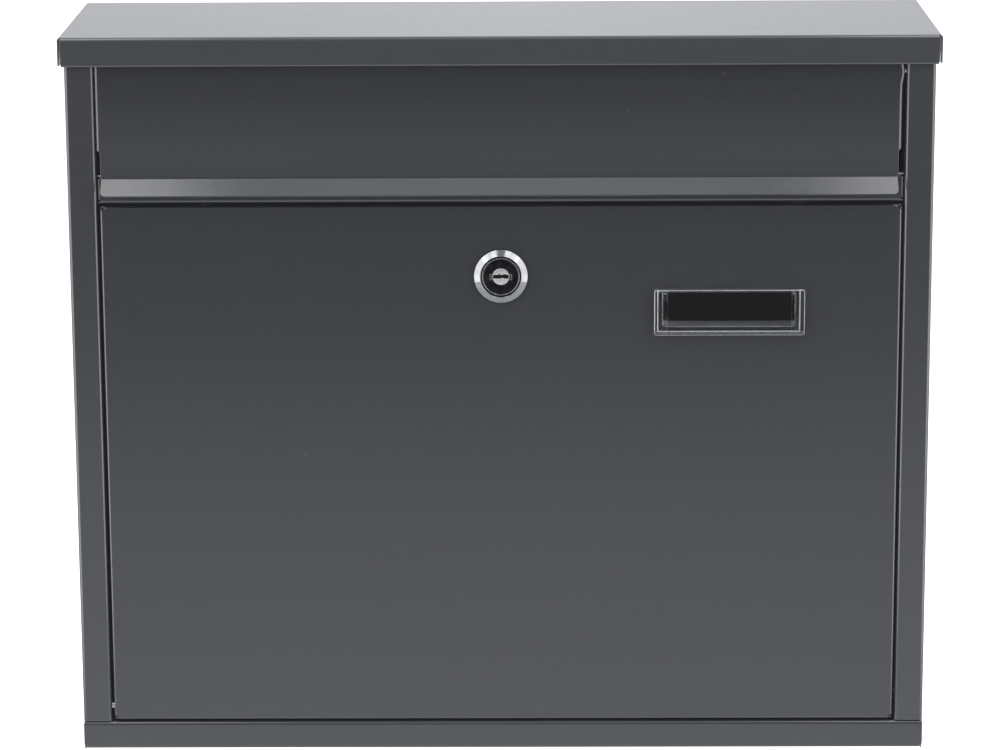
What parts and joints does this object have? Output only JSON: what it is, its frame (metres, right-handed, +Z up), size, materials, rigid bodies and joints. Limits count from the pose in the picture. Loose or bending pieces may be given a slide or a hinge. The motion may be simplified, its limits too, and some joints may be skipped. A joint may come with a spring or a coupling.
{
  "type": "wall mounted mailbox",
  "caption": "Shallow sheet-steel wall mailbox with a sloping hood, a posting flap hung under it, and a bottom-hinged door with a cam lock and a clear nameplate window.",
  "frame": {"origin": "middle of the four wall holes, on the back face that lies on the wall", "axes": "+X to the right seen from the front, +Y into the wall, +Z up"},
  "size_m": [0.36, 0.0943, 0.3091],
  "materials": {
    "powder_coat": "semi-gloss anthracite powder coat with a fine orange peel",
    "lock_chrome": "polished chrome",
    "zinc_plated_steel": "bright zinc plate",
    "nickel_silver": "worn nickel",
    "lock_black": "satin black",
    "clear_plastic": "clear moulded polystyrene"
  },
  "bodies": {
    "case": {"case_shell": "powder_coat", "bottom_pan": "powder_coat", "cross_rail": "powder_coat", "hood": "powder_coat", "hood_nut_left_front": "zinc_plated_steel", "hood_nut_left_rear": "zinc_plated_steel", "hood_nut_right_front": "zinc_plated_steel", "hood_nut_right_rear": "zinc_plated_steel", "door_pin_left": "zinc_plated_steel", "door_pin_right": "zinc_plated_steel", "flap_pin_left": "zinc_plated_steel", "flap_pin_right": "zinc_plated_steel", "rail_rivet_left": "zinc_plated_steel", "rail_rivet_right": "zinc_plated_steel"},
    "flap": {"flap_panel": "powder_coat"},
    "door": {"door_panel": "powder_coat", "lock_body": "lock_chrome", "lock_ring": "lock_chrome", "lock_nut": "zinc_plated_steel", "nameplate_window": "clear_plastic"},
    "lock_plug": {"lock_plug": "lock_black", "key_core": "nickel_silver", "lock_cam": "zinc_plated_steel", "cam_washer": "zinc_plated_steel", "cam_screw": "zinc_plated_steel"}
  },
  "joints": [
    {"name": "door_hinge", "type": "hinge", "parent": "case", "child": "door", "pos_m": [0, -0.0843, -0.1325], "axis": [1, 0, 0], "range_deg": [0, 105]},
    {"name": "flap_hinge", "type": "hinge", "parent": "case", "child": "flap", "pos_m": [0, -0.08375, 0.1366], "axis": [-1, 0, 0], "range_deg": [0, 68]},
    {"name": "lock_turn", "type": "hinge", "parent": "door", "child": "lock_plug", "pos_m": [0.0002, -0.0889, 0.0526], "axis": [0, -1, 0], "range_deg": [0, 90]}
  ]
}
